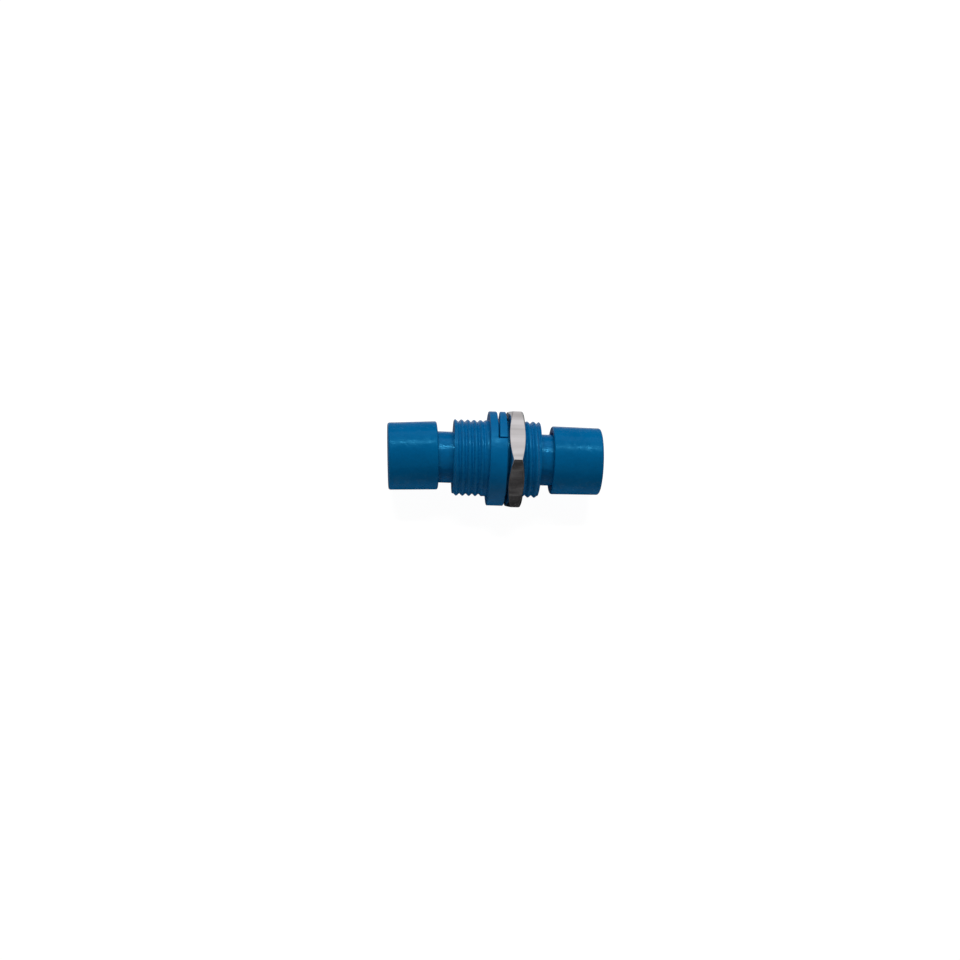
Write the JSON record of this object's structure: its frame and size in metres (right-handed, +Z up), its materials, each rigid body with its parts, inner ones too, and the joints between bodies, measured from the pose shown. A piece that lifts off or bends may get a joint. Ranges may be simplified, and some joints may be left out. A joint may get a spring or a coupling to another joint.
{
  "type": "fibre optic adapter",
  "caption": "Round bulkhead fibre adapter: threaded moulded housing split at its flange, slit alignment sleeve inside, plated hex panel nut and a dust cap on each nose.",
  "frame": {"origin": "on the optical axis, in the rear face of the flange that a panel bears on", "axes": "+X along the optical axis towards the nut, +Z up as the adapter lies on a flat of its nut"},
  "size_m": [0.0337, 0.0172, 0.0148],
  "materials": {
    "housing_plastic": "blue moulded PBT, satin",
    "cap_plastic": "blue moulded polyethylene, soft sheen",
    "holder_plastic": "natural moulded PBT",
    "plated_brass": "turned brass, nickel plated",
    "zirconia": "ground zirconia, white"
  },
  "bodies": {
    "housing": {"front_housing": "housing_plastic", "rear_housing": "housing_plastic", "front_sleeve_holder": "holder_plastic", "rear_sleeve_holder": "holder_plastic", "alignment_sleeve": "zirconia"},
    "nut": {"hex_nut": "plated_brass"},
    "front_cap": {"front_dust_cap": "cap_plastic"},
    "rear_cap": {"rear_dust_cap": "cap_plastic"}
  },
  "joints": [
    {"name": "nut_travel", "type": "slide", "parent": "housing", "child": "nut", "axis": [1, 0, 0], "range_m": [-0.0003, 0.0155]},
    {"name": "front_cap_pull", "type": "slide", "parent": "housing", "child": "front_cap", "axis": [-1, 0, 0], "range_m": [0, 0.036]},
    {"name": "rear_cap_pull", "type": "slide", "parent": "housing", "child": "rear_cap", "axis": [1, 0, 0], "range_m": [0, 0.036]}
  ]
}
